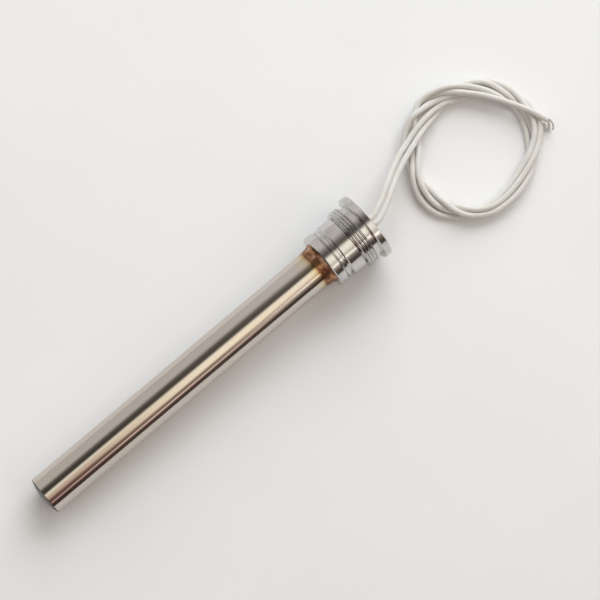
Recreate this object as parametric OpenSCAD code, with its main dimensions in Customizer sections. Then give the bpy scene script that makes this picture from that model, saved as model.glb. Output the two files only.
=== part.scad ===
// Cartridge heater: a sheathed heating rod brazed into a turned threaded fitting, with two coiled leads.
// It lies on the surface z = 0 on the rim of its flange and the edge of its tip, with the flange towards +X.
// Sizes are in millimetres.

/* [Sheath] */
// Outside diameter of the sheath
sheath_d = 12.5; // [10:0.1:13.5]
// Wall of the sheath
sheath_wall = 0.8; // [0.6:0.05:1.2]
// Length of sheath that stands out of the fitting
sheath_reach = 106.5; // [70:0.5:200]

/* [Tip] */
// Height of the domed tip
dome_h = 1.2; // [0.6:0.1:2]
// Depth of the end cap's plug in the sheath
cap_plug = 2.5; // [1.5:0.1:5]

/* [Fitting] */
// Diameter of the two collars and of the neck behind the thread
collar_d = 17.8; // [16:0.1:19]
// Diameter of the narrow ring between the collars
ring_d = 17.0; // [15.8:0.1:18.5]
// Diameter at the bottom of the grooves
groove_d = 15.6; // [15:0.1:15.8]
// Outside diameter of the thread
thread_d = 20; // [19.2:0.1:21]
// Diameter of the flange
flange_d = 22; // [21.2:0.1:30]
// Length of the front collar, next to the sheath
front_collar_len = 3.0; // [2:0.1:6]
// Width of the fine groove behind the front collar
fine_groove_w = 0.3; // [0.2:0.05:1]
// Length of the narrow ring
ring_len = 1.2; // [0.8:0.1:3]
// Width of the groove behind the narrow ring
wide_groove_w = 0.7; // [0.4:0.05:1.5]
// Length of the rear collar, in front of the thread
rear_collar_len = 4.6; // [3:0.1:8]
// Width of the relief groove in front of the thread
relief_w = 0.4; // [0.3:0.05:1]
// Length of the thread
thread_len = 3.5; // [2.5:0.1:8]
// Length of the neck between the thread and the flange
neck_len = 1.9; // [1:0.1:4]
// Thickness of the flange
flange_t = 2.3; // [1.5:0.1:5]
// Chamfer on the turned edges
edge = 0.25; // [0.1:0.05:0.35]
// Metal left between the socket for the sheath and the flange's outer face
socket_web = 2.5; // [1.5:0.1:4]

/* [Brazed joint] */
// Length of the brazing metal along the sheath
braze_len = 3.1; // [1.5:0.1:5]
// Height of the brazing metal on the front collar
braze_h = 0.6; // [0.5:0.05:1.5]
// Depth to which the sheath is turned down from the joint on
spigot_step = 0.25; // [0.2:0.05:0.35]

/* [Winding] */
// Diameter of the ceramic core
core_d = 7.2; // [6:0.1:7.6]
// Diameter of the heating wire
wire_d = 0.6; // [0.4:0.05:0.8]
// Wanted pitch of the winding
wire_pitch = 4; // [2.5:0.1:8]
// Room at each end of the core, where the wire crosses to its pin
core_gap = 1.4; // [1.2:0.1:3]
// Thickness of the insulating disc at the tip
tip_insulator_t = 3; // [1.5:0.1:6]

/* [Terminals] */
// Diameter of a terminal pin
pin_d = 1.2; // [0.8:0.05:1.4]
// Distance between the two pins
pin_pitch = 3.2; // [3:0.05:3.6]
// Thickness of the ceramic plug at the cold end
head_insulator_t = 6; // [3:0.1:10]
// Outside diameter of a crimp sleeve
crimp_d = 2.4; // [2:0.05:2.7]
// Length of a crimp sleeve
crimp_len = 8; // [5:0.1:12]
// Length over which the leads come together behind the crimps
gather_len = 6; // [4:0.1:10]
// Depth of the potting inside the sheath
potting_depth = 5; // [3:0.1:10]
// Distance from the flange's face down to the potting
potting_recess = 0.3; // [0.1:0.05:0.8]

/* [Leads] */
// Outside diameter of a lead
lead_d = 1.8; // [1.2:0.05:2]
// Distance between the leads where they leave the flange
lead_pitch = 2.1; // [2.05:0.05:2.8]
// Potting around the two leads in the flange's hole
potting_wall = 0.8; // [0.5:0.05:1.5]
// Thickness of a bare strand
strand_d = 0.32; // [0.2:0.02:0.4]

/* [Coil] */
// Radius of the coil at the middle of its turns
coil_mid_r = 19.3; // [17:0.1:20]
// Width of the bundle of turns
coil_w = 6.6; // [5:0.1:7.5]
// Height of the bundle of turns
coil_h = 4; // [3:0.1:4.1]

/* [Hidden] */
$fn = 64;

// Clearance of packed and brazed faces
seat_gap = 0.02;
// Radial clearance of pins, leads and the sheath in their holes
hole_gap = 0.05;
// Distance of the strands' roots from the end of their lead
strand_gap = 0.2;
// Flats that stand for a heating wire and for one of its turns
wire_sides = 6;
turn_steps = 12;
// Flats round a lead and round a bare strand
lead_sides = 8;
strand_sides = 6;

// Radii
sheath_r = sheath_d / 2;
sheath_in_r = sheath_r - sheath_wall;
flange_r = flange_d / 2;
spigot_r = sheath_r - spigot_step;
socket_r = spigot_r + hole_gap;
pack_r = sheath_in_r - seat_gap;
lead_r = lead_d / 2;
lead_hole_r = (lead_pitch + lead_d) / 2 + potting_wall;
winding_r = (core_d / 2 + wire_d / 2 + hole_gap) / cos(180 / turn_steps);
dome_r = (sheath_r * sheath_r + dome_h * dome_h) / (2 * dome_h);

// Stations along the fitting, from the front collar's face
front_groove_z = front_collar_len;
ring_z = front_groove_z + fine_groove_w;
rear_groove_z = ring_z + ring_len;
rear_collar_z = rear_groove_z + wide_groove_w;
relief_z = rear_collar_z + rear_collar_len;
thread_z = relief_z + relief_w;
neck_z = thread_z + thread_len;
flange_z = neck_z + neck_len;
fitting_len = flange_z + flange_t;

// Stations along the heater's axis, from the edge of the tip
face_z = sheath_reach + fitting_len;
sheath_len = face_z - socket_web;
tip_insulator_z = cap_plug + seat_gap;
winding_z0 = tip_insulator_z + tip_insulator_t;
core_z0 = winding_z0 + core_gap;
potting_z = sheath_len - potting_depth;
crimp_z1 = potting_z - gather_len;
crimp_z0 = crimp_z1 - crimp_len;
head_insulator_z = crimp_z0 - head_insulator_t;
winding_z1 = head_insulator_z - seat_gap;
core_z1 = winding_z1 - core_gap;

// How the heater lies: the flange's front edge and the tip's edge both meet the surface
tilt = atan2(flange_r - sheath_r, sheath_reach + flange_z + edge);
lie_z = sheath_r * cos(tilt);
low_x = (dome_r - dome_h) * cos(tilt) - dome_r;
high_x = face_z * cos(tilt) + (flange_r - edge) * sin(tilt);
lie_x = -(low_x + high_x) / 2;

// The point at the distance z along the lying axis and y beside it
function on_axis(z, y) = [lie_x + z * cos(tilt), y, lie_z + z * sin(tilt)];

// Below the flange's face on the surface, and the middle of the coil
exit_foot = [lie_x + face_z * cos(tilt), 0, 0];
coil_middle = exit_foot + [41.7, -1.1, 0];

// Routes of the leads outside the flange, from the foot below its face
lead_1_route = [[2.4, 1.0, 11.1], [5.4, 2.0, 10.8], [8.5, 3.5, 10.2], [11.5, 5.3, 9.4], [14.6, 7.1, 8.5],
    [17.6, 8.8, 7.5], [20.6, 10.4, 6.5], [23.2, 11.5, 5.7], [25.6, 12.2, 5.2], [27.9, 12.8, 5.0]];
lead_2_route = [[2.4, -1.2, 11.1], [4.6, -0.6, 10.8], [7.6, 0.8, 10.3], [10.6, 2.5, 9.6], [13.2, 4.1, 8.8],
    [15.8, 5.6, 8.0], [18.5, 7.1, 7.1], [21.2, 8.4, 6.2], [23.9, 9.5, 5.5], [26.4, 10.4, 5.1], [28.8, 11.2, 5.0]];
// Routes of the tails, from the middle of the coil
lead_1_tail_route = [[23.1, -6.1, 0.95], [23.3, -7.1, 0.95], [23.3, -8.2, 0.95]];
lead_2_tail_route = [[17.1, 4.2, 5.0], [18.6, 1.3, 5.0], [19.4, -0.4, 5.0], [20.1, -2.2, 5.0], [21.0, -4.2, 4.9],
    [22.0, -6.4, 4.7], [23.0, -8.8, 4.5]];
// Direction in which the hidden tail leaves the coil
lead_1_tail_angle = -14;
// Routes of the bare strands, from the end of their tail
lead_1_strand_routes = [
    [[0.25, 0, 0], [0.1, -0.9, -0.3], [-0.3, -1.8, -0.6], [-0.8, -2.6, -0.7]],
    [[-0.3, 0, 0], [-0.5, -0.8, -0.4], [-0.9, -1.5, -0.6], [-1.6, -2.2, -0.7]]];
lead_2_strand_routes = [
    [[0.35, 0.05, 0.3], [0.45, -0.9, 0.1], [0.2, -1.7, -1.1], [-0.5, -2.4, -2.7]],
    [[0.4, 0.05, -0.3], [0.4, -0.7, -0.7], [0.0, -1.4, -1.7], [-0.9, -2.0, -3.0]],
    [[-0.2, -0.05, 0.3], [-0.3, -0.8, -0.1], [-0.9, -1.6, -1.3], [-2.0, -2.1, -2.9]],
    [[-0.25, -0.05, -0.3], [-0.6, -0.6, -0.8], [-1.3, -1.1, -1.9], [-2.5, -1.5, -3.2]]];

// A direction of length 1
function unit(v) = v / norm(v);
// Direction of a route at its point i
function heading(route, i) = unit(route[min(i + 1, len(route) - 1)] - route[max(i - 1, 0)]);
// A direction square to v, near the direction n
function square_to(v, n) = unit(n - (n * v) * v);
// Sideways directions along a route, each carried over from the one before
function sideways(route, i = 0, last = [0.3, 0.1, 1]) =
    i == len(route) ? [] :
    let (side = square_to(heading(route, i), last))
    concat([side], sideways(route, i + 1, side));

// A round tube of radius r along a route
module tube(route, r, sides) {
    side = sideways(route);
    rings = len(route);
    points = [for (i = [0:rings - 1]) for (k = [0:sides - 1])
        let (up = cross(heading(route, i), side[i]), a = 360 * k / sides)
        route[i] + r * (cos(a) * side[i] + sin(a) * up)];
    walls = [for (i = [0:rings - 2]) for (k = [0:sides - 1])
        let (a = i * sides + k, b = i * sides + (k + 1) % sides)
        [a, a + sides, b + sides, b]];
    start = [for (k = [0:sides - 1]) k];
    end = [for (k = [sides - 1:-1:0]) (rings - 1) * sides + k];
    polyhedron(points, concat(walls, [start, end]));
}

// A shape made upright on the heater's axis, laid down with the tip's edge and the flange on the surface
module lie() {
    translate([lie_x, 0, lie_z]) rotate([0, 90 - tilt, 0]) children();
}

// A straight round hole or rod along the axis, beside it by y
module rod(r, z0, z1, y = 0) {
    translate([0, y, z0]) cylinder(r = r, h = z1 - z0);
}

// Corners of a turned step with chamfered edges
function turned_step(r, z0, z1, chamfer) =
    [[r - chamfer, z0], [r, z0 + chamfer], [r, z1 - chamfer], [r - chamfer, z1]];

module sheath_tube() {
    color("silver") lie() difference() {
        union() {
            rod(sheath_r, 0, sheath_reach - braze_len);
            rod(spigot_r, 0, sheath_len);
        }
        rod(sheath_in_r, -1, sheath_len + 1);
    }
}

module end_cap() {
    color("darkgray") lie() {
        intersection() {
            translate([0, 0, dome_r - dome_h]) sphere(r = dome_r);
            rod(sheath_r, -dome_h - 1, 0);
        }
        rod(pack_r, 0, cap_plug);
    }
}

// Outline of the fitting on one side of its axis
fitting_outline = concat(
    [[socket_r, 0]],
    turned_step(collar_d / 2, 0, front_groove_z, edge),
    [[groove_d / 2, front_groove_z], [groove_d / 2, ring_z]],
    turned_step(ring_d / 2, ring_z, rear_groove_z, edge / 2),
    [[groove_d / 2, rear_groove_z], [groove_d / 2, rear_collar_z]],
    turned_step(collar_d / 2, rear_collar_z, relief_z, edge),
    [[groove_d / 2, relief_z], [groove_d / 2, thread_z]],
    turned_step(thread_d / 2, thread_z, neck_z, edge),
    [[collar_d / 2, neck_z], [collar_d / 2, flange_z]],
    turned_step(flange_r, flange_z, fitting_len, edge),
    [[lead_hole_r, fitting_len], [lead_hole_r, fitting_len - socket_web], [socket_r, fitting_len - socket_web]]);

module threaded_fitting() {
    color("lightgray") lie() translate([0, 0, sheath_reach]) rotate_extrude() polygon(fitting_outline);
}

module braze_joint() {
    steps = 8;
    long = braze_len - 2 * seat_gap;
    flare = [for (i = [0:steps]) [sheath_r + 0.1 + braze_h * pow(i / steps, 3), -seat_gap - long * (1 - i / steps)]];
    foot = [[spigot_r + seat_gap, -seat_gap], [spigot_r + seat_gap, -seat_gap - long]];
    color("peru") lie() translate([0, 0, sheath_reach]) rotate_extrude() polygon(concat(foot, flare));
}

module ceramic_core() {
    color("whitesmoke") lie() difference() {
        rod(core_d / 2, core_z0, core_z1);
        for (side = [-1, 1]) rod(pin_d / 2 + hole_gap, core_z0 - 1, core_z1 + 1, side * pin_pitch / 2);
    }
}

// The wire leaves one pin below the core, winds up round the core and crosses to the other pin above it
module resistance_coil() {
    wire_z0 = winding_z0 + core_gap / 2;
    wire_z1 = winding_z1 - core_gap / 2;
    turns = round((wire_z1 - wire_z0) / wire_pitch) + 0.5;
    pin_side = (pin_pitch + pin_d + wire_d) / 2;
    winding = [for (i = [0:turns * turn_steps])
        let (a = 90 + 360 * i / turn_steps)
        [winding_r * cos(a), winding_r * sin(a), wire_z0 + (wire_z1 - wire_z0) * i / (turns * turn_steps)]];
    first = [[0, pin_side, wire_z0]];
    last = [[0, -pin_side, wire_z1]];
    color("dimgray") lie() tube(concat(first, winding, last), wire_d / 2, wire_sides);
}

module magnesia_fill() {
    color("beige") lie() difference() {
        rod(pack_r, winding_z0 + seat_gap, winding_z1);
        rod(winding_r + wire_d / 2 + hole_gap, winding_z0 - 1, winding_z1 + 1);
    }
}

module tip_insulator() {
    color("white") lie() rod(pack_r, tip_insulator_z, winding_z0);
}

module head_insulator() {
    color("white") lie() difference() {
        rod(pack_r, head_insulator_z, crimp_z0 - seat_gap);
        for (side = [-1, 1]) rod(pin_d / 2 + hole_gap, head_insulator_z - 1, crimp_z0 + 1, side * pin_pitch / 2);
    }
}

// A pin reaches from the room below the core into the middle of its crimp sleeve
module terminal_pin(side) {
    color("gainsboro") lie() rod(pin_d / 2, winding_z0 + hole_gap, crimp_z0 + crimp_len / 2, side * pin_pitch / 2);
}

module terminal_pin_1() {
    terminal_pin(1);
}

module terminal_pin_2() {
    terminal_pin(-1);
}

module crimp_sleeve(side) {
    color("goldenrod") lie() difference() {
        rod(crimp_d / 2, crimp_z0, crimp_z1, side * pin_pitch / 2);
        rod(pin_d / 2 + seat_gap, crimp_z0 - 1, crimp_z1 + 1, side * pin_pitch / 2);
    }
}

module crimp_sleeve_1() {
    crimp_sleeve(1);
}

module crimp_sleeve_2() {
    crimp_sleeve(-1);
}

module potting_seal() {
    color("linen") lie() difference() {
        union() {
            rod(pack_r, potting_z, sheath_len - seat_gap);
            rod(lead_hole_r - seat_gap, sheath_len - 1, face_z - potting_recess);
        }
        for (side = [-1, 1]) rod(lead_r + hole_gap, potting_z - 1, face_z + 1, side * lead_pitch / 2);
    }
}

// A lead starts at its crimp sleeve, comes close to the other one and leaves the flange along the axis
module lead_run(side, route) {
    inside = [on_axis(crimp_z1 + seat_gap, side * pin_pitch / 2), on_axis(crimp_z1 + 1.5, side * pin_pitch / 2),
        on_axis(potting_z - 1.5, side * lead_pitch / 2), on_axis(potting_z + 1, side * lead_pitch / 2),
        on_axis(sheath_len, side * lead_pitch / 2), on_axis(face_z + 0.3, side * lead_pitch / 2)];
    outside = [for (p = route) exit_foot + p];
    color("ivory") tube(concat(inside, outside), lead_r, lead_sides);
}

module lead_1_run() {
    lead_run(1, lead_1_route);
}

module lead_2_run() {
    lead_run(-1, lead_2_route);
}

// Outer shape of the turns of both leads
module lead_coil() {
    half_flat = (coil_w - coil_h) / 2;
    color("ivory") translate(coil_middle) rotate_extrude() translate([coil_mid_r, coil_h / 2]) {
        for (end = [-1, 1]) translate([end * half_flat, 0]) circle(d = coil_h);
        square([2 * half_flat, coil_h], center = true);
    }
}

module lead_1_tail() {
    coil_edge = coil_mid_r + coil_w / 2 + 0.9 * lead_r;
    out = [cos(lead_1_tail_angle), sin(lead_1_tail_angle), 0];
    start = [coil_edge * out + [0, 0, lead_r + hole_gap]];
    color("ivory") tube([for (p = concat(start, lead_1_tail_route)) coil_middle + p], lead_r, lead_sides);
}

module lead_2_tail() {
    color("ivory") tube([for (p = lead_2_tail_route) coil_middle + p], lead_r, lead_sides);
}

// Bare strands that fan out of the end of a tail
module strands(tail_route, strand_routes) {
    tail_end = coil_middle + tail_route[len(tail_route) - 1];
    forward = heading(tail_route, len(tail_route) - 1);
    for (route = strand_routes)
        color("silver") tube([for (p = route) tail_end + p + forward * strand_gap], strand_d / 2, strand_sides);
}

module lead_1_strands() {
    strands(lead_1_tail_route, lead_1_strand_routes);
}

module lead_2_strands() {
    strands(lead_2_tail_route, lead_2_strand_routes);
}

sheath_tube();
end_cap();
threaded_fitting();
braze_joint();
ceramic_core();
resistance_coil();
magnesia_fill();
tip_insulator();
head_insulator();
terminal_pin_1();
terminal_pin_2();
crimp_sleeve_1();
crimp_sleeve_2();
potting_seal();
lead_1_run();
lead_2_run();
lead_coil();
lead_1_tail();
lead_2_tail();
lead_1_strands();
lead_2_strands();
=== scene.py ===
import math

import bpy
import numpy as np
from mathutils import Matrix, Vector, noise


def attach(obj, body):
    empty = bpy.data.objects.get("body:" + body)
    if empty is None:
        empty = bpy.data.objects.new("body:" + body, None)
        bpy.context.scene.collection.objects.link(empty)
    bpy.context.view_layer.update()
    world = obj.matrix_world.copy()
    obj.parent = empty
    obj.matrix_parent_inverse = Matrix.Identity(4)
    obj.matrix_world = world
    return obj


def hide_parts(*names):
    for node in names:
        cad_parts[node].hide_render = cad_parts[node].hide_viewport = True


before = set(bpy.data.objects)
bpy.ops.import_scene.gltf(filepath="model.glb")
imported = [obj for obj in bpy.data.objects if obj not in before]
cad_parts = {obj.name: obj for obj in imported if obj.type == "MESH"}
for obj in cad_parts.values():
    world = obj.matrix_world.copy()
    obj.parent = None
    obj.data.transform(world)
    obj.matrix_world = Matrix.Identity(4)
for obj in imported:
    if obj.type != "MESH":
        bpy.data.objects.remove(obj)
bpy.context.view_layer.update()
scene = bpy.context.scene
scene.view_settings.view_transform = "Standard"

MM = 0.001

# Sizes of the heater in millimetres, as in the part's source
SHEATH_R = 6.25
SHEATH_IN_R = 5.45
SPIGOT_R = 6.0
SHEATH_REACH = 106.5
DOME_H = 1.2
CAP_PLUG = 2.5
COLLAR_R = 8.9
RING_R = 8.5
GROOVE_R = 7.8
THREAD_R = 10.0
THREAD_ROOT_R = 9.38
THREAD_PITCH = 1.0
FLANGE_R = 11.0
EDGE = 0.25
SOCKET_R = 6.05
SOCKET_WEB = 2.5
BRAZE_LEN = 3.1
BRAZE_H = 0.6
LEAD_HOLE_R = 2.75
LEAD_D = 1.8
LEAD_PITCH = 2.1
PIN_PITCH = 3.2
POTTING_DEPTH = 5.0
GATHER_LEN = 6.0
SEAT_GAP = 0.02

# Stations along the fitting, from the front collar's face
GROOVE_Z = 3.0
RING_Z = GROOVE_Z + 0.3
REAR_GROOVE_Z = RING_Z + 1.2
REAR_COLLAR_Z = REAR_GROOVE_Z + 0.7
RELIEF_Z = REAR_COLLAR_Z + 4.6
THREAD_Z = RELIEF_Z + 0.4
NECK_Z = THREAD_Z + 3.5
FLANGE_Z = NECK_Z + 1.9
FITTING_LEN = FLANGE_Z + 2.3

# Stations along the heater's axis, from the edge of the tip
BRAZE_Z = SHEATH_REACH - BRAZE_LEN
FACE_Z = SHEATH_REACH + FITTING_LEN
SHEATH_LEN = FACE_Z - SOCKET_WEB
POTTING_Z = SHEATH_LEN - POTTING_DEPTH
CRIMP_END = POTTING_Z - GATHER_LEN

# How the heater lies: on the rim of its flange and the edge of its tip
TILT = math.atan2(FLANGE_R - SHEATH_R, SHEATH_REACH + FLANGE_Z + EDGE)
DOME_R = (SHEATH_R**2 + DOME_H**2) / (2 * DOME_H)
LOW_X = (DOME_R - DOME_H) * math.cos(TILT) - DOME_R
HIGH_X = FACE_Z * math.cos(TILT) + (FLANGE_R - EDGE) * math.sin(TILT)
LIE_X = -(LOW_X + HIGH_X) / 2
LIE_Z = SHEATH_R * math.cos(TILT)
LIE = Matrix.Translation((LIE_X * MM, 0, LIE_Z * MM)) @ Matrix.Rotation(math.pi / 2 - TILT, 4, "Y")


def on_axis(z, y):
    """The point at z along the lying axis and y beside it, in millimetres."""
    return Vector((LIE_X + z * math.cos(TILT), y, LIE_Z + z * math.sin(TILT)))


# Camera

VIEW_TURN = math.radians(40.494)
VIEW_LEAN = math.radians(13)
VIEW_DISTANCE = 720.3
VIEW_TARGET = Vector((33.83, -2.49, 0))
SENSOR_WIDTH = 36
LENS = 144
CLIP_NEAR = 20
CLIP_FAR = 20000


def add_camera():
    """Looks down from almost straight above, as the photograph does."""
    right = Vector((math.cos(VIEW_TURN), -math.sin(VIEW_TURN), 0))
    away = Vector((math.sin(VIEW_TURN), math.cos(VIEW_TURN), 0))
    back = -away * math.sin(VIEW_LEAN) + Vector((0, 0, 1)) * math.cos(VIEW_LEAN)
    up = back.cross(right)
    place = VIEW_TARGET + back * VIEW_DISTANCE
    data = bpy.data.cameras.new("camera")
    data.sensor_width = SENSOR_WIDTH
    data.lens = LENS
    data.clip_start = CLIP_NEAR * MM
    data.clip_end = CLIP_FAR * MM
    camera = bpy.data.objects.new("camera", data)
    scene.collection.objects.link(camera)
    turn = Matrix((right, up, back)).transposed().to_4x4()
    camera.matrix_world = Matrix.Translation(place * MM) @ turn
    scene.camera = camera


add_camera()

# Materials

# Stretch of the sheath in front of the brazed joint that has heat colours, and how far they waver
HEAT_LEN = 5.5
HEAT_WAVER = 1.6
# Radii between which the tip darkens towards its weld, and how far the edge of that wavers
WELD_DARK_FROM = 5.2
WELD_DARK_TO = 6.2
WELD_WAVER = 0.8
# Width of the oxide along the front edge of the brazing metal
OXIDE_EDGE = 0.9
# Sleeve of a lead: bundles of fibre round it each way, their pitch along it, and threads in each
BRAID_BUNDLES = 8
BRAID_PITCH = 0.62
BRAID_THREADS = 4.0


class Nodes:
    """Short ways to add and join the nodes of a tree."""

    def __init__(self, tree):
        self.tree = tree

    def node(self, kind, inputs=None, **settings):
        n = self.tree.nodes.new(kind)
        for key, value in settings.items():
            setattr(n, key, value)
        for key, value in (inputs or {}).items():
            self.put(n.inputs[key], value)
        return n

    def put(self, socket, value):
        if isinstance(value, bpy.types.NodeSocket):
            self.tree.links.new(value, socket)
        else:
            socket.default_value = value

    def math(self, operation, a, b=0.0):
        n = self.node("ShaderNodeMath", operation=operation)
        self.put(n.inputs[0], a)
        self.put(n.inputs[1], b)
        return n.outputs[0]

    def coordinates(self, kind="Object", scale=(1, 1, 1)):
        source = self.node("ShaderNodeTexCoord").outputs[kind]
        return self.node("ShaderNodeMapping", {"Vector": source, "Scale": scale}).outputs[0]

    def split(self, vector):
        return self.node("ShaderNodeSeparateXYZ", {"Vector": vector}).outputs

    def noise(self, vector, scale, detail=3.0, rough=0.55):
        inputs = {"Vector": vector, "Scale": scale, "Detail": detail, "Roughness": rough}
        return self.node("ShaderNodeTexNoise", inputs).outputs[0]

    def ramp(self, value, *stops):
        n = self.node("ShaderNodeValToRGB", {"Fac": value})
        n.color_ramp.interpolation = "EASE"
        marks = n.color_ramp.elements
        while len(marks) < len(stops):
            marks.new(0.5)
        for mark, (position, colour) in zip(marks, stops):
            mark.position = position
            mark.color = (*colour, 1)
        return n.outputs[0]

    def grey(self, value, low, high, dark=0.0, light=1.0):
        inputs = {"Value": value, "From Min": low, "From Max": high}
        inputs |= {"To Min": dark, "To Max": light}
        return self.node("ShaderNodeMapRange", inputs).outputs[0]

    def mix(self, factor, a, b):
        n = self.node("ShaderNodeMix", data_type="RGBA")
        self.put(n.inputs[0], factor)
        self.put(n.inputs[6], a if isinstance(a, bpy.types.NodeSocket) else (*a, 1))
        self.put(n.inputs[7], b if isinstance(b, bpy.types.NodeSocket) else (*b, 1))
        return n.outputs[2]


class Shader(Nodes):
    """A new material with a Principled surface."""

    def __init__(self, name):
        self.material = bpy.data.materials.new(name)
        self.material.use_nodes = True
        super().__init__(self.material.node_tree)
        self.surface = self.tree.nodes["Principled BSDF"]

    def set(self, **values):
        for key, value in values.items():
            self.put(self.surface.inputs[key.replace("_", " ")], value)
        return self

    def bump(self, height, strength, depth):
        """Fine relief with a depth in millimetres."""
        inputs = {"Height": height, "Strength": strength, "Distance": depth * MM}
        return self.set(Normal=self.node("ShaderNodeBump", inputs).outputs[0])


def polished_steel():
    """Polished tube with faint drawing lines, and heat colours that run up to the brazed joint."""
    s = Shader("polished_steel")
    place = s.coordinates()
    along = s.split(place)[2]
    streaks = s.noise(s.coordinates(scale=(1, 1, 0.02)), 900, 4)
    smear = s.noise(s.coordinates(scale=(1, 1, 0.12)), 240, 3)
    cloud = s.noise(place, 210, 3)
    waver = s.math("MULTIPLY", s.math("SUBTRACT", cloud, 0.5), HEAT_WAVER * MM)
    heat = s.grey(s.math("ADD", along, waver), (BRAZE_Z - HEAT_LEN) * MM, BRAZE_Z * MM)
    steel = s.mix(s.grey(smear, 0.35, 0.7), (0.63, 0.585, 0.55), (0.63, 0.56, 0.49))
    tint = s.ramp(
        heat, (0.0, (1, 1, 1)), (0.45, (1.0, 0.99, 0.92)), (0.72, (0.99, 0.95, 0.75)),
        (0.88, (0.86, 0.68, 0.42)), (0.96, (0.5, 0.3, 0.18)), (1.0, (0.3, 0.17, 0.13)),
    )
    tinted = s.node("ShaderNodeMix", data_type="RGBA", blend_type="MULTIPLY")
    s.put(tinted.inputs[0], 1.0)
    s.put(tinted.inputs[6], steel)
    s.put(tinted.inputs[7], tint)
    s.set(Base_Color=tinted.outputs[2], Metallic=1.0)
    s.set(Roughness=s.grey(streaks, 0.3, 0.7, 0.07, 0.13))
    return s.bump(streaks, 0.04, 0.05).material


def ground_steel():
    """Ground tip: dull, with fine scratches across it, and dark round the weld."""
    s = Shader("ground_steel")
    place = s.coordinates()
    x, y, _ = s.split(place)
    out = s.math("SQRT", s.math("ADD", s.math("MULTIPLY", x, x), s.math("MULTIPLY", y, y)))
    scratches = s.noise(s.coordinates(scale=(0.06, 1, 1)), 3800, 4)
    cloud = s.noise(place, 380, 4)
    uneven = s.math("ADD", out, s.math("MULTIPLY", cloud, WELD_WAVER * MM))
    weld = s.grey(uneven, WELD_DARK_FROM * MM, WELD_DARK_TO * MM)
    metal = s.mix(s.grey(cloud, 0.3, 0.7), (0.17, 0.168, 0.165), (0.24, 0.235, 0.23))
    s.set(Base_Color=s.mix(weld, metal, (0.11, 0.105, 0.1)), Metallic=1.0)
    s.set(Roughness=s.grey(scratches, 0.3, 0.7, 0.32, 0.48))
    return s.bump(scratches, 0.15, 0.06).material


def turned_steel():
    """Turned steel: fine lines round the axis, a little darker in patches."""
    s = Shader("turned_steel")
    lines = s.noise(s.coordinates(scale=(0.04, 0.04, 1)), 5200, 3)
    cloud = s.noise(s.coordinates(), 160, 4)
    colour = s.ramp(
        cloud, (0.3, (0.55, 0.535, 0.52)), (0.55, (0.63, 0.615, 0.6)), (0.8, (0.67, 0.66, 0.65)),
    )
    s.set(Base_Color=colour, Metallic=1.0, Roughness=s.grey(lines, 0.3, 0.7, 0.11, 0.19))
    return s.bump(lines, 0.08, 0.05).material


def braze_metal():
    """Brazing metal: copper that flowed, with brown oxide in patches and along the front edge."""
    s = Shader("braze_metal")
    place = s.coordinates()
    along = s.split(place)[2]
    cloud = s.noise(place, 420, 4, 0.6)
    grain = s.noise(place, 2600, 3)
    colour = s.ramp(
        cloud, (0.32, (0.05, 0.028, 0.018)), (0.44, (0.22, 0.105, 0.05)),
        (0.56, (0.42, 0.225, 0.125)), (0.7, (0.62, 0.42, 0.34)),
    )
    edge = s.grey(along, BRAZE_Z * MM, (BRAZE_Z + OXIDE_EDGE) * MM, 0.85, 0.0)
    s.set(Base_Color=s.mix(edge, colour, (0.3, 0.14, 0.07)), Metallic=1.0)
    s.set(Roughness=s.grey(cloud, 0.35, 0.65, 0.42, 0.22))
    height = s.math("ADD", cloud, s.math("MULTIPLY", grain, 0.15))
    return s.bump(height, 0.25, 0.2).material


def braid():
    """Woven glass-fibre sleeve, with painted shade in the hollows of its weave. U runs along the lead
    in millimetres, V once round it.
    """
    s = Shader("braid")
    u, v, _ = s.split(s.node("ShaderNodeTexCoord").outputs["UV"])
    turn = s.math("MULTIPLY", v, 2 * math.pi * BRAID_BUNDLES)
    run = s.math("MULTIPLY", u, 2 * math.pi / BRAID_PITCH)
    one = s.math("SINE", s.math("ADD", turn, run))
    two = s.math("SINE", s.math("SUBTRACT", turn, run))
    weave = s.math("MULTIPLY", one, two)
    threads = s.math("SINE", s.math("MULTIPLY", s.math("ADD", turn, run), BRAID_THREADS))
    place = s.coordinates()
    soil = s.noise(place, 130, 4)
    fuzz = s.noise(place, 3600, 2)
    height = s.math("ADD", weave, s.math("MULTIPLY", s.math("ADD", threads, fuzz), 0.2))
    tone = s.ramp(
        soil, (0.3, (0.77, 0.75, 0.695)), (0.5, (0.82, 0.802, 0.755)), (0.75, (0.86, 0.847, 0.81)),
    )
    # Painted shade: where the weave sinks between its bundles, the colour darkens towards a darker
    # tone.
    gap = s.grey(weave, -0.9, 0.1, 0.25, 0.0)
    s.set(Base_Color=s.mix(gap, tone, (0.66, 0.63, 0.57)), Roughness=0.82)
    s.set(Specular_IOR_Level=0.25, Sheen_Weight=0.2, Sheen_Roughness=0.5)
    return s.bump(height, 0.6, 0.08).material


def ceramic(name, light, dark, grain_scale):
    """Unglazed ceramic or packed powder: pale with fine grain, and painted shade in its pores."""
    s = Shader(name)
    place = s.coordinates()
    cloud = s.noise(place, 120, 4)
    grain = s.noise(place, grain_scale, 4, 0.65)
    body = s.mix(s.grey(cloud, 0.3, 0.7), dark, light)
    # Painted shade: the colour darkens where the grain sinks into pores, the low parts of its relief.
    s.set(Base_Color=s.mix(s.grey(grain, 0.3, 0.5, 0.5, 0.0), body, dark))
    s.set(Roughness=s.grey(grain, 0.3, 0.7, 0.65, 0.85))
    return s.bump(grain, 0.35, 0.1).material


def drawn_metal(name, colour, dark, low, high):
    """Drawn wire, rod or tube: fine lines along it and dull patches."""
    s = Shader(name)
    lines = s.noise(s.coordinates(scale=(0.05, 1, 1)), 4200, 3)
    cloud = s.noise(s.coordinates(), 300, 4)
    s.set(Base_Color=s.mix(s.grey(cloud, 0.35, 0.7), dark, colour), Metallic=1.0)
    s.set(Roughness=s.grey(lines, 0.3, 0.7, low, high))
    return s.bump(lines, 0.12, 0.04).material


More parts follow.
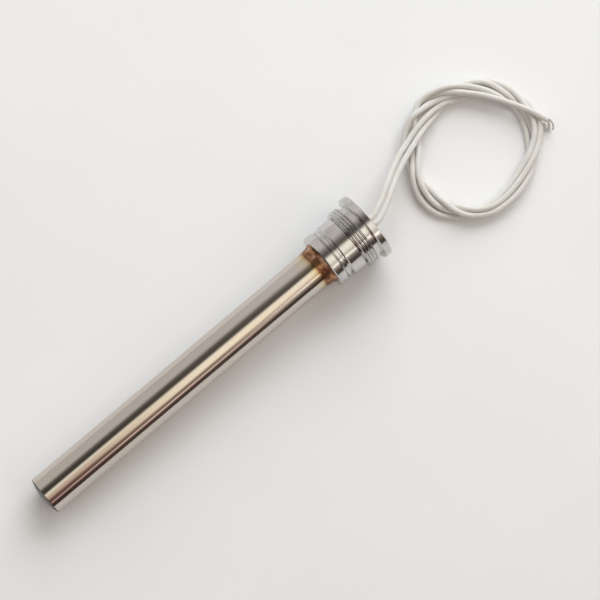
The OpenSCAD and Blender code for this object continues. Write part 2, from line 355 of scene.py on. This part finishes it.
def table_top():
    """Pale floor with a barely seen unevenness."""
    s = Shader("table_top")
    cloud = s.noise(s.coordinates(), 14, 4)
    s.set(Base_Color=s.mix(s.grey(cloud, 0.3, 0.7), (0.86, 0.86, 0.855), (0.89, 0.89, 0.885)))
    s.set(Roughness=0.9, Specular_IOR_Level=0.2)
    return s.material


POLISHED = polished_steel()
GROUND = ground_steel()
TURNED = turned_steel()
BRAZE = braze_metal()
BRAID = braid()
CERAMIC = ceramic("core_ceramic", (0.86, 0.84, 0.79), (0.74, 0.7, 0.62), 900)
POWDER = ceramic("packed_magnesia", (0.88, 0.86, 0.81), (0.78, 0.75, 0.68), 2200)
CEMENT = ceramic("potting_cement", (0.8, 0.77, 0.7), (0.62, 0.58, 0.5), 1500)
HEATING_WIRE = drawn_metal("heating_wire", (0.4, 0.38, 0.36), (0.26, 0.24, 0.23), 0.3, 0.5)
PIN_STEEL = drawn_metal("pin_steel", (0.66, 0.65, 0.63), (0.52, 0.5, 0.48), 0.2, 0.35)
CRIMP_METAL = drawn_metal("crimp_metal", (0.72, 0.58, 0.36), (0.55, 0.42, 0.25), 0.22, 0.4)
BARE_STRAND = drawn_metal("bare_strand", (0.86, 0.84, 0.8), (0.72, 0.69, 0.64), 0.32, 0.48)

# Shapes


def add_mesh(name, points, faces, material, matrix=None, sharp=30, uv=None):
    """A smooth mesh of points in millimetres, with edges over the sharp angle left crisp."""
    mesh = bpy.data.meshes.new(name)
    mesh.from_pydata([Vector(p) * MM for p in points], [], faces)
    if uv is not None:
        layer = mesh.uv_layers.new(name="run")
        layer.data.foreach_set("uv", [c for pair in uv for c in pair])
    mesh.polygons.foreach_set("use_smooth", [True] * len(mesh.polygons))
    if sharp:
        mesh.set_sharp_from_angle(angle=math.radians(sharp))
    mesh.materials.append(material)
    obj = bpy.data.objects.new(name, mesh)
    scene.collection.objects.link(obj)
    if matrix is not None:
        obj.matrix_world = matrix
    return obj


def revolve(rows, steps):
    """Points and faces of a closed section turned about the axis.

    A row is (radius, z), or a function of the angle that gives both.
    """
    points = []
    for row in rows:
        for k in range(steps):
            a = 2 * math.pi * k / steps
            r, z = row(a) if callable(row) else row
            points.append((r * math.cos(a), r * math.sin(a), z))
    faces = []
    for i in range(len(rows)):
        j = (i + 1) % len(rows)
        for k in range(steps):
            n = (k + 1) % steps
            faces.append((i * steps + k, i * steps + n, j * steps + n, j * steps + k))
    return points, faces


def step_rows(r, z0, z1, chamfer):
    """A turned step with chamfered edges."""
    return [(r - chamfer, z0), (r, z0 + chamfer), (r, z1 - chamfer), (r - chamfer, z1)]


def smooth_route(points, spacing):
    """A smooth line through the points, with samples about the spacing apart."""
    pts = [Vector(p) for p in points]
    ends = [2 * pts[0] - pts[1]] + pts + [2 * pts[-1] - pts[-2]]
    out = []
    for i in range(1, len(ends) - 2):
        p0, p1, p2, p3 = ends[i - 1 : i + 3]
        d0, d1, d2 = ((b - a).length for a, b in ((p0, p1), (p1, p2), (p2, p3)))
        m1 = d1 * ((p1 - p0) / d0 - (p2 - p0) / (d0 + d1)) + (p2 - p1)
        m2 = d1 * ((p3 - p2) / d2 - (p3 - p1) / (d1 + d2)) + (p2 - p1)
        steps = max(1, round(d1 / spacing))
        for k in range(steps):
            t = k / steps
            a, b = 2 * t**3 - 3 * t**2 + 1, t**3 - 2 * t**2 + t
            c, d = -2 * t**3 + 3 * t**2, t**3 - t**2
            out.append(a * p1 + b * m1 + c * p2 + d * m2)
    out.append(pts[-1])
    return out


def tube(line, radius, sides):
    """Points, faces, UV and length of a round tube along a line.

    U is the length in millimetres and V goes once round.
    """
    points, faces, uv = [], [], []
    side = Vector((0.3, 0.1, 1))
    run = [0.0]
    for a, b in zip(line, line[1:]):
        run.append(run[-1] + (b - a).length)
    for i, p in enumerate(line):
        ahead = (line[min(i + 1, len(line) - 1)] - line[max(i - 1, 0)]).normalized()
        side = (side - side.dot(ahead) * ahead).normalized()
        other = ahead.cross(side)
        r = radius(run[i] / run[-1]) if callable(radius) else radius
        for k in range(sides):
            a = 2 * math.pi * k / sides
            points.append(p + r * (math.cos(a) * side + math.sin(a) * other))
    for i in range(len(line) - 1):
        for k in range(sides):
            n = (k + 1) % sides
            faces.append((i * sides + k, i * sides + n, (i + 1) * sides + n, (i + 1) * sides + k))
            v0, v1 = k / sides, (k + 1) / sides
            uv += [(run[i], v0), (run[i], v1), (run[i + 1], v1), (run[i + 1], v0)]
    first = tuple(range(sides - 1, -1, -1))
    last = tuple((len(line) - 1) * sides + k for k in range(sides))
    faces += [first, last]
    uv += [(0, 0)] * sides + [(run[-1], 0)] * sides
    return points, faces, uv, run[-1]


def finish_piece(obj, slot, *nodes):
    """Puts a piece in the frame and hides the nodes that it replaces. Its slot is not used."""
    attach(obj, "root")
    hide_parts(*nodes)
    return obj


# Leads

# Point on the surface below the middle of the flange's face, and the middle of the coil
EXIT_FOOT = Vector((LIE_X + FACE_Z * math.cos(TILT), 0, 0))
COIL_MIDDLE = EXIT_FOOT + Vector((41.7, -1.1, 0))
# Angle round the coil of the first point of its turns, and from one point to the next
COIL_START = math.radians(140)
COIL_STEP = math.radians(-20)
# Rise from one layer of turns to the next, as a share of a lead's thickness
LAYER_RISE = 0.8

# Spacing of the samples on a lead's loose turns, on a whole lead and on a bare strand
TURN_SPACING = 1.0
LEAD_SPACING = 0.45
STRAND_SPACING = 0.25
# Straight stretch of a lead at its crimp sleeve and before the potting
STRAIGHT_LEN = 1.5
# How far inside the potting, and how far past the flange's face, its route has a point
IN_POTTING = 1
PAST_FACE = 0.3
# Radius of a bare strand, and the share of it that is lost towards the strand's end
STRAND_R = 0.15
STRAND_TAPER = 0.25
LEAD_SIDES = 20
STRAND_SIDES = 8

# For each lead: its side of the axis, its route outside the flange from the foot below the flange's
# face, the radius and the layer of its turns at each step round the coil, with half a turn to a row,
# and its bare strands from its end
LEAD_1 = {
    "side": 1,
    "route": [
        (2.4, 1.0, 11.1), (5.4, 2.0, 10.8), (8.5, 3.5, 10.2), (11.5, 5.3, 9.4), (14.6, 7.1, 8.5),
        (17.6, 8.8, 7.5), (20.6, 10.4, 6.6), (23.2, 11.5, 5.9),
    ],
    "radii": [
        20.9, 18.0, 16.8, 16.7, 16.6, 18.4, 21.4, 22.0, 21.6,
        19.4, 17.7, 17.2, 18.2, 19.5, 19.5, 18.7, 18.4, 18.5,
        19.5, 19.6, 18.1, 19.0, 20.2, 21.2, 20.0, 19.6, 19.0,
        19.0, 18.8, 19.1, 20.0, 21.2, 21.2, 19.4, 18.6, 20.0,
        21.2, 21.1, 19.2, 18.0, 17.6, 17.4, 19.5, 21.0, 23.2,
    ],
    "layers": "321100010" "111111000" "011001110" "011111110" "011111000",
    "strands": [
        [(0.2, 0, 0.2), (0.3, -0.9, 0.1), (0.7, -1.6, -0.1), (1.4, -2.0, -0.3)],
        [(0, 0, 0), (-0.2, -1.2, -0.2), (0.2, -2.0, -0.4), (0.9, -2.6, -0.5)],
        [(-0.3, 0, 0), (-0.5, -1.3, -0.3), (-0.5, -2.3, -0.6), (0.2, -3.2, -0.7)],
    ],
}
LEAD_2 = {
    "side": -1,
    "route": [
        (2.4, -1.2, 11.1), (4.6, -0.6, 10.8), (7.6, 0.8, 10.3), (10.6, 2.5, 9.6), (13.2, 4.1, 8.8),
        (15.8, 5.6, 8.0), (18.5, 7.1, 7.1), (21.2, 8.4, 6.3), (23.9, 9.5, 5.7),
    ],
    "radii": [
        18.5, 16.2, 15.5, 16.5, 19.0, 22.0, 21.8, 20.5, 19.8,
        17.6, 15.9, 15.5, 16.6, 18.6, 20.2, 21.2, 20.2, 18.2,
        16.6, 18.8, 21.6, 20.4, 19.4, 18.5, 18.2, 18.6, 17.2,
        17.0, 17.3, 18.3, 19.3, 20.4, 21.5, 23.2, 22.4, 19.8,
        18.0, 18.0, 21.6, 19.5, 17.3, 16.5, 16.9, 19.0, 24.2,
    ],
    "layers": "321000121" "100000122" "101222100" "000000001" "100122232",
    "strands": [
        [(0.38, 0.0, 0.3), (0.55, -1.2, 0.2), (0.3, -2.5, -0.5), (-0.4, -3.2, -1.6)],
        [(0.3, 0.05, 0.05), (0.4, -1.1, -0.1), (0.1, -2.3, -0.8), (-0.6, -3.0, -1.9)],
        [(0.1, 0.0, 0.35), (0.25, -1.1, 0.25), (-0.05, -2.3, -0.4), (-0.7, -3.1, -1.4)],
        [(-0.1, -0.05, 0.3), (-0.2, -0.9, 0.1), (-0.9, -1.9, -0.7), (-1.9, -2.4, -1.9)],
        [(-0.2, -0.05, 0.05), (-0.4, -0.8, -0.2), (-1.2, -1.7, -1.0), (-2.2, -2.1, -2.2)],
        [(-0.35, -0.05, 0.2), (-0.45, -0.9, 0.0), (-1.1, -1.9, -0.8), (-2.0, -2.2, -1.7)],
        [(-0.3, -0.05, -0.2), (-0.6, -0.6, -0.5), (-1.4, -1.3, -1.3), (-2.4, -1.7, -2.5)],
    ],
}


def loose_turns(lead):
    """A lead's turns before they settle, as a smooth line."""
    points = []
    for k, (r, layer) in enumerate(zip(lead["radii"], lead["layers"])):
        a = COIL_START + k * COIL_STEP
        z = LEAD_D * (0.5 + LAYER_RISE * int(layer))
        points.append(COIL_MIDDLE + Vector((r * math.cos(a), r * math.sin(a), z)))
    return smooth_route(points, TURN_SPACING)


def off_neighbours(line):
    """How far the middle of its two neighbours lies from each point of a line."""
    out = np.zeros_like(line)
    out[1:-1] = (line[:-2] + line[2:]) / 2 - line[1:-1]
    return out


# Strands may touch where they are this near in plan and, on one lead, more than so many samples apart
MAY_TOUCH = 1.8 * LEAD_D
SAME_STRETCH = 6 * LEAD_D / TURN_SPACING
# The turns settle in rounds. In each round they sink a fraction of a millimetre and are drawn to their
# own place in plan, then are levelled and straightened a few times, then push each other apart where
# they meet: each by a share of the overlap, and less sideways than up and down
ROUNDS = 1200
SINK = 0.003
HOME_SHARE = 0.05
SMOOTHINGS = 3
LEVEL_SHARE = 0.25
STRAIGHT_SHARE = 0.3
PUSH_SHARE = 0.6
SIDE_SHARE = 0.6
# Share of the rounds after which that push has its full strength
FIRM_AFTER = 0.9


def settle(lines):
    """Lets the turns of both leads sink onto the surface and each other, with their ends held.

    Strands push each other apart more firmly from round to round, so that none is bent sharply.
    """
    place = np.concatenate([np.array(line) for line in lines])
    home = place[:, :2].copy()
    counts = [len(line) for line in lines]
    lead = np.repeat(range(len(lines)), counts)
    row = np.arange(len(place))
    apart = np.linalg.norm(home[:, None] - home[None], axis=2)
    far_along = (lead[:, None] != lead[None]) | (abs(row[:, None] - row[None]) > SAME_STRETCH)
    one, two = np.nonzero(np.triu((apart < MAY_TOUCH) & far_along))
    starts = np.cumsum([0] + counts)
    held = [i for a, b in zip(starts, starts[1:]) for i in (a, a + 1, b - 2, b - 1)]
    held_place = place[held].copy()
    for n in range(ROUNDS):
        firm = min(1.0, n / (FIRM_AFTER * ROUNDS))
        place[:, 2] -= SINK
        place[:, :2] += HOME_SHARE * (home - place[:, :2])
        for a, b in SMOOTHINGS * list(zip(starts, starts[1:])):
            bend = off_neighbours(place[a:b])
            place[a:b, 2] += LEVEL_SHARE * bend[:, 2]
            place[a:b] -= STRAIGHT_SHARE * off_neighbours(bend)
        gap = place[one] - place[two]
        distance = np.linalg.norm(gap, axis=1)
        hit = distance < LEAD_D
        gap, distance = gap[hit], distance[hit]
        push = SIDE_SHARE * gap * (LEAD_D / distance - 1)[:, None]
        clear = np.sqrt(LEAD_D**2 - gap[:, 0] ** 2 - gap[:, 1] ** 2)
        push[:, 2] = np.sign(gap[:, 2]) * (clear - abs(gap[:, 2]))
        shift = np.zeros_like(place)
        count = np.ones(len(place))
        share = PUSH_SHARE * firm
        for touched, way in ((one[hit], share), (two[hit], -share)):
            np.add.at(shift, touched, way * push)
            np.add.at(count, touched, 1)
        place += shift / count[:, None]
        place[:, 2] = np.maximum(place[:, 2], LEAD_D / 2)
        place[held] = held_place
    return [[Vector(p) for p in place[a:b]] for a, b in zip(starts, starts[1:])]


def lead_line(lead, turns):
    """A lead's whole centre line, from its crimp sleeve inside the sheath to its end."""
    half_pin = lead["side"] * PIN_PITCH / 2
    half_lead = lead["side"] * LEAD_PITCH / 2
    at_pin = (CRIMP_END + SEAT_GAP, CRIMP_END + STRAIGHT_LEN)
    at_face = (POTTING_Z - STRAIGHT_LEN, POTTING_Z + IN_POTTING, SHEATH_LEN, FACE_Z + PAST_FACE)
    line = [on_axis(z, half_pin) for z in at_pin] + [on_axis(z, half_lead) for z in at_face]
    line += [EXIT_FOOT + Vector(p) for p in lead["route"]]
    line = smooth_route(line + turns, LEAD_SPACING)
    for p in line:
        p.z = max(p.z, LEAD_D / 2)
    return line


def strand_radius(share):
    """A bare strand's radius at a share of its length."""
    return STRAND_R * (1 - STRAND_TAPER * share)


def add_strands(name, end, routes, node):
    points, faces = [], []
    for route in routes:
        line = smooth_route([end + Vector(p) for p in route], STRAND_SPACING)
        p, f, _, _ = tube(line, strand_radius, STRAND_SIDES)
        faces += [tuple(len(points) + i for i in face) for face in f]
        points += p
    return finish_piece(add_mesh(name, points, faces, BARE_STRAND), "bare_strand", node)


def add_lead(name, lead, turns):
    line = lead_line(lead, turns)
    points, faces, uv, length = tube(line, LEAD_D / 2, LEAD_SIDES)
    obj = add_mesh(name, points, faces, BRAID, sharp=60, uv=uv)
    finish_piece(obj, "braid", name + "_run", "lead_coil", name + "_tail")
    ends = add_strands(name + "_bare_strands", line[-1], lead["strands"], name + "_strands")


turns_1, turns_2 = settle([loose_turns(LEAD_1), loose_turns(LEAD_2)])
add_lead("lead_1", LEAD_1, turns_1)
add_lead("lead_2", LEAD_2, turns_2)

# Sheath, tip and brazed joint

# Rounded edge where the sheath meets the tip: its depth at the seam, and its depth just beside it
RIM = 0.12
RIM_BEVEL = 0.03
# Places of the sheath's rings: two where its rounded edge ends, and two that shorten its faces
SHEATH_RINGS = (1.5 * RIM, 2 * RIM, 20, 60)
# The dome of the tip is drawn in rings, out to this share of the sheath's radius
DOME_RINGS = 24
DOME_SHARE = 0.985
# Radius, width and height of the weld's ring on the dome
WELD_R = 5.5
WELD_W = 0.25
WELD_H = 0.03
# Smallest ring of a turned piece, in place of a point on the axis
POLE_R = 0.001
# Brazing metal: how far its front edge wavers, how thick it is a quarter of the way on, and how high
# its lumps are
BRAZE_WAVER = 0.35
BRAZE_LIP = 0.1
LIP_SHARE = 0.25
BRAZE_LUMP = 0.05
# How fine that wavering is, coarse part and fine part, and how fine the lumps are round and along
COARSE_WAVER = 2.1
FINE_WAVER = 6.5
LUMPS_ROUND = 5
LUMPS_ALONG = 1.6
BRAZE_RINGS = 16
SHEATH_SIDES = 192
BRAZE_SIDES = 160


def add_sheath():
    rows = [(SHEATH_R - RIM, 0.0), (SHEATH_R - RIM_BEVEL, RIM / 2)]
    rows += [(SHEATH_R, z) for z in (*SHEATH_RINGS, BRAZE_Z)]
    rows += [(SPIGOT_R, BRAZE_Z), (SPIGOT_R, SHEATH_LEN)]
    rows += [(SHEATH_IN_R, SHEATH_LEN), (SHEATH_IN_R, 0.0)]
    points, faces = revolve(rows, SHEATH_SIDES)
    finish_piece(add_mesh("sheath", points, faces, POLISHED, LIE), "polished_steel", "sheath_tube")


def add_tip():
    """Domed cap with a rounded rim and the ring of the weld round it."""
    rows = []
    for i in range(DOME_RINGS + 1):
        r = SHEATH_R * i / DOME_RINGS * DOME_SHARE
        z = -(math.sqrt(DOME_R**2 - r**2) - (DOME_R - DOME_H))
        weld = WELD_H * math.exp(-(((r - WELD_R) / WELD_W) ** 2))
        rows.append((max(r, POLE_R), z - weld))
    plug_r = SHEATH_IN_R - SEAT_GAP
    rows += [(SHEATH_R - RIM_BEVEL, -RIM_BEVEL), (SHEATH_R - RIM, 0.0)]
    rows += [(plug_r, 0.0), (plug_r, CAP_PLUG), (POLE_R, CAP_PLUG)]
    points, faces = revolve(rows[::-1], SHEATH_SIDES)
    finish_piece(add_mesh("tip_cap", points, faces, GROUND, LIE), "polished_steel", "end_cap")


def braze_row(share):
    """Ring of the brazing metal at a share of the way from its front edge to the collar."""

    def at(a):
        about = Vector((math.cos(a), math.sin(a), 0))
        wave = noise.noise(about * COARSE_WAVER) + 0.5 * noise.noise(about * FINE_WAVER)
        front = -BRAZE_LEN + 2 * SEAT_GAP + BRAZE_WAVER * max(0.0, wave)
        z = front * (1 - share) - SEAT_GAP * share
        r = SHEATH_R + BRAZE_LIP * min(1, share / LIP_SHARE) + BRAZE_H * share**3
        if 0 < share < 1:
            r += BRAZE_LUMP * noise.noise(about * LUMPS_ROUND + Vector((0, 0, z * LUMPS_ALONG)))
        return r, SHEATH_REACH + z

    return at


def add_braze():
    """Uneven fillet of brazing metal between the sheath and the front collar."""
    foot_r = SPIGOT_R + SEAT_GAP
    rows = [(foot_r, SHEATH_REACH - SEAT_GAP)]
    rows += [(foot_r, BRAZE_Z + SEAT_GAP), (SHEATH_R, BRAZE_Z + SEAT_GAP)]
    rows += [braze_row(i / BRAZE_RINGS) for i in range(BRAZE_RINGS + 1)]
    points, faces = revolve(rows[::-1], BRAZE_SIDES)
    obj = add_mesh("brazed_joint", points, faces, BRAZE, LIE, sharp=50)
    finish_piece(obj, "braze", "braze_joint")


add_sheath()
add_tip()
add_braze()

# Threaded fitting

# Flats at the thread's root and crest, as shares of its pitch
ROOT_FLAT = 0.25
CREST_FLAT = 0.125
THREAD_ROWS = 84
# Chamfer of the hole for the leads
HOLE_EDGE = 0.15
FITTING_SIDES = 240


def thread_row(z):
    """Ring of the right-hand thread at the distance z from its start."""
    to_end = min(z, NECK_Z - THREAD_Z - z)

    def at(a):
        turn = (z / THREAD_PITCH - a / (2 * math.pi)) % 1.0
        flank = 1 - abs(2 * turn - 1)
        rise = min(1.0, max(0.0, (flank - ROOT_FLAT) / (1 - ROOT_FLAT - CREST_FLAT)))
        r = THREAD_ROOT_R + (THREAD_R - THREAD_ROOT_R) * rise
        return min(r, THREAD_R - EDGE + to_end), SHEATH_REACH + THREAD_Z + z

    return at


def add_fitting():
    def ring(r, z):
        return (r, SHEATH_REACH + z)

    def step(r, z0, z1, chamfer):
        return step_rows(r, SHEATH_REACH + z0, SHEATH_REACH + z1, chamfer)

    rows = [ring(SOCKET_R, 0.0)]
    rows += step(COLLAR_R, 0.0, GROOVE_Z, EDGE)
    rows += [ring(GROOVE_R, GROOVE_Z), ring(GROOVE_R, RING_Z)]
    rows += step(RING_R, RING_Z, REAR_GROOVE_Z, EDGE / 2)
    rows += [ring(GROOVE_R, REAR_GROOVE_Z), ring(GROOVE_R, REAR_COLLAR_Z)]
    rows += step(COLLAR_R, REAR_COLLAR_Z, RELIEF_Z, EDGE)
    rows += [ring(GROOVE_R, RELIEF_Z), ring(GROOVE_R, THREAD_Z)]
    rows += [thread_row((NECK_Z - THREAD_Z) * i / THREAD_ROWS) for i in range(THREAD_ROWS + 1)]
    rows += [ring(COLLAR_R, NECK_Z), ring(COLLAR_R, FLANGE_Z)]
    rows += step(FLANGE_R, FLANGE_Z, FITTING_LEN, EDGE)
    rows += [ring(LEAD_HOLE_R + HOLE_EDGE, FITTING_LEN), ring(LEAD_HOLE_R, FITTING_LEN - HOLE_EDGE)]
    rows += [ring(LEAD_HOLE_R, FITTING_LEN - SOCKET_WEB), ring(SOCKET_R, FITTING_LEN - SOCKET_WEB)]
    points, faces = revolve(rows, FITTING_SIDES)
    obj = add_mesh("threaded_body", points, faces, TURNED, LIE, sharp=28)
    finish_piece(obj, "turned_steel", "threaded_fitting")


add_fitting()

# Pieces inside the sheath, which keep their solids

for node, material in {
    "ceramic_core": CERAMIC,
    "tip_insulator": CERAMIC,
    "head_insulator": CERAMIC,
    "magnesia_fill": POWDER,
    "potting_seal": CEMENT,
    "resistance_coil": HEATING_WIRE,
    "terminal_pin_1": PIN_STEEL,
    "terminal_pin_2": PIN_STEEL,
    "crimp_sleeve_1": CRIMP_METAL,
    "crimp_sleeve_2": CRIMP_METAL,
}.items():
    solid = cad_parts[node]
    solid.data.materials.clear()
    solid.data.materials.append(material)

# Floor and light

FLOOR_HALF = 1500
# The floor lies this far below the surface that the heater lies on, so that the two never meet
FLOOR_DROP = 0.05


def add_floor():
    signs = ((-1, -1), (1, -1), (1, 1), (-1, 1))
    points = [(FLOOR_HALF * x, FLOOR_HALF * y, 0) for x, y in signs]
    below = Matrix.Translation((0, 0, -FLOOR_DROP * MM))
    add_mesh("floor", points, [(0, 1, 2, 3)], table_top(), below, sharp=0)


# Soft light round the heater: angle from straight up towards -Y in degrees, and the light's colour
# there, as the middle of the heater mirrors it, then as its tip does, then as its fitting does
SKY_MIDDLE = [
    (-110, (0.62, 0.6, 0.58)), (-45, (0.66, 0.63, 0.61)), (-38, (0.6, 0.575, 0.56)),
    (-31, (0.34, 0.32, 0.31)), (-21, (0.13, 0.12, 0.11)), (-4, (0.09, 0.08, 0.07)),
    (3, (0.22, 0.21, 0.18)), (9, (0.95, 0.9, 0.78)), (15, (1.3, 1.22, 1.02)),
    (35, (1.38, 1.27, 1.02)), (41, (1.0, 0.87, 0.68)), (46, (0.42, 0.33, 0.24)),
    (53, (0.23, 0.17, 0.13)), (57, (0.3, 0.21, 0.17)), (60, (1.0, 0.8, 0.72)),
    (64, (0.95, 0.77, 0.7)), (69, (0.18, 0.12, 0.1)), (76, (0.1, 0.065, 0.055)),
    (92, (0.06, 0.045, 0.04)), (110, (0.2, 0.18, 0.17)),
]
SKY_TIP = [
    (-110, (0.62, 0.6, 0.58)), (-45, (0.64, 0.62, 0.6)), (-36, (0.57, 0.55, 0.53)),
    (-29, (0.28, 0.26, 0.25)), (-20, (0.09, 0.08, 0.07)), (-4, (0.06, 0.055, 0.045)),
    (2, (0.3, 0.29, 0.25)), (6, (0.95, 0.92, 0.8)), (11, (1.15, 1.1, 0.93)),
    (18, (0.8, 0.68, 0.54)), (28, (0.74, 0.57, 0.46)), (34, (0.58, 0.41, 0.33)),
    (41, (0.26, 0.15, 0.12)), (47, (0.15, 0.08, 0.06)), (55, (0.14, 0.07, 0.06)),
    (59, (0.56, 0.37, 0.35)), (63, (0.56, 0.37, 0.35)), (68, (0.07, 0.035, 0.03)),
    (92, (0.04, 0.03, 0.025)), (110, (0.2, 0.18, 0.17)),
]
SKY_HEAD = [
    (-110, (0.66, 0.64, 0.62)), (-45, (0.74, 0.71, 0.69)), (-38, (0.7, 0.66, 0.63)),
    (-30, (0.6, 0.56, 0.53)), (-21, (0.36, 0.33, 0.3)), (-11, (0.19, 0.17, 0.15)),
    (-4, (0.12, 0.105, 0.09)), (2, (0.22, 0.2, 0.18)), (7, (0.78, 0.74, 0.68)),
    (12, (1.32, 1.26, 1.15)), (27, (1.28, 1.21, 1.08)), (36, (0.85, 0.8, 0.72)),
    (44, (0.65, 0.6, 0.54)), (48, (2.0, 1.9, 1.74)), (53, (2.0, 1.9, 1.74)),
    (58, (0.45, 0.4, 0.36)), (66, (0.24, 0.2, 0.17)), (75, (0.1, 0.08, 0.065)),
    (92, (0.04, 0.03, 0.025)), (110, (0.2, 0.18, 0.17)),
]
# Light beyond the two ends of the heater: near the horizon, and higher up
LOW_ENDS = (0.07, 0.07, 0.07)
HIGH_ENDS = (0.58, 0.6, 0.64)
# Where one light gives way to another, by the direction that it comes from: X between the three
# tables, Z between the low and the high ends, and X without its sign between tables and ends
TIP_TO_MIDDLE = (-0.04, 0.015)
MIDDLE_TO_HEAD = (0.065, 0.095)
LOW_TO_HIGH = (0.22, 0.5)
BANDS_TO_ENDS = (0.45, 0.7)
# Key panel: its place from the middle of the picture, its side, power and colour
KEY_PLACE = (800, 500, 650)
KEY_SIZE = 1100
KEY_POWER = 12.5
KEY_COLOUR = (0.94, 0.97, 1.0)


def light_bands(nodes, angle, sky):
    """The light of one table by its angle round the heater."""
    low, high = sky[0][0], sky[-1][0]
    share = nodes.grey(angle, math.radians(low), math.radians(high))
    return nodes.ramp(share, *(((a - low) / (high - low), colour) for a, colour in sky))


def add_world():
    """Soft light in bands along the heater, and plain light from beyond its two ends."""
    world = bpy.data.worlds.new("studio")
    world.use_nodes = True
    n = Nodes(world.node_tree)
    x, y, z = n.split(n.node("ShaderNodeTexCoord").outputs["Generated"])
    angle = n.math("ARCTAN2", n.math("MULTIPLY", y, -1.0), z)
    tip, middle, head = (light_bands(n, angle, sky) for sky in (SKY_TIP, SKY_MIDDLE, SKY_HEAD))
    bands = n.mix(n.grey(x, *TIP_TO_MIDDLE), tip, middle)
    bands = n.mix(n.grey(x, *MIDDLE_TO_HEAD), bands, head)
    ends = n.mix(n.grey(z, *LOW_TO_HIGH), LOW_ENDS, HIGH_ENDS)
    to_end = n.grey(n.math("ABSOLUTE", x), *BANDS_TO_ENDS)
    n.put(n.tree.nodes["Background"].inputs["Color"], n.mix(to_end, bands, ends))
    scene.world = world


def add_panel(name, place, size, power, colour):
    """A soft square panel at a place in millimetres, turned to the middle of the picture.

    It lights the scene without showing in the polished metal.
    """
    data = bpy.data.lights.new(name, "AREA")
    data.size = size * MM
    data.energy = power
    data.color = colour
    obj = bpy.data.objects.new(name, data)
    obj.visible_glossy = False
    scene.collection.objects.link(obj)
    turn = Vector(place).to_track_quat("Z", "Y").to_matrix().to_4x4()
    obj.matrix_world = Matrix.Translation((Vector(place) + VIEW_TARGET) * MM) @ turn


add_floor()
add_world()
add_panel("key_panel", KEY_PLACE, KEY_SIZE, KEY_POWER, KEY_COLOUR)
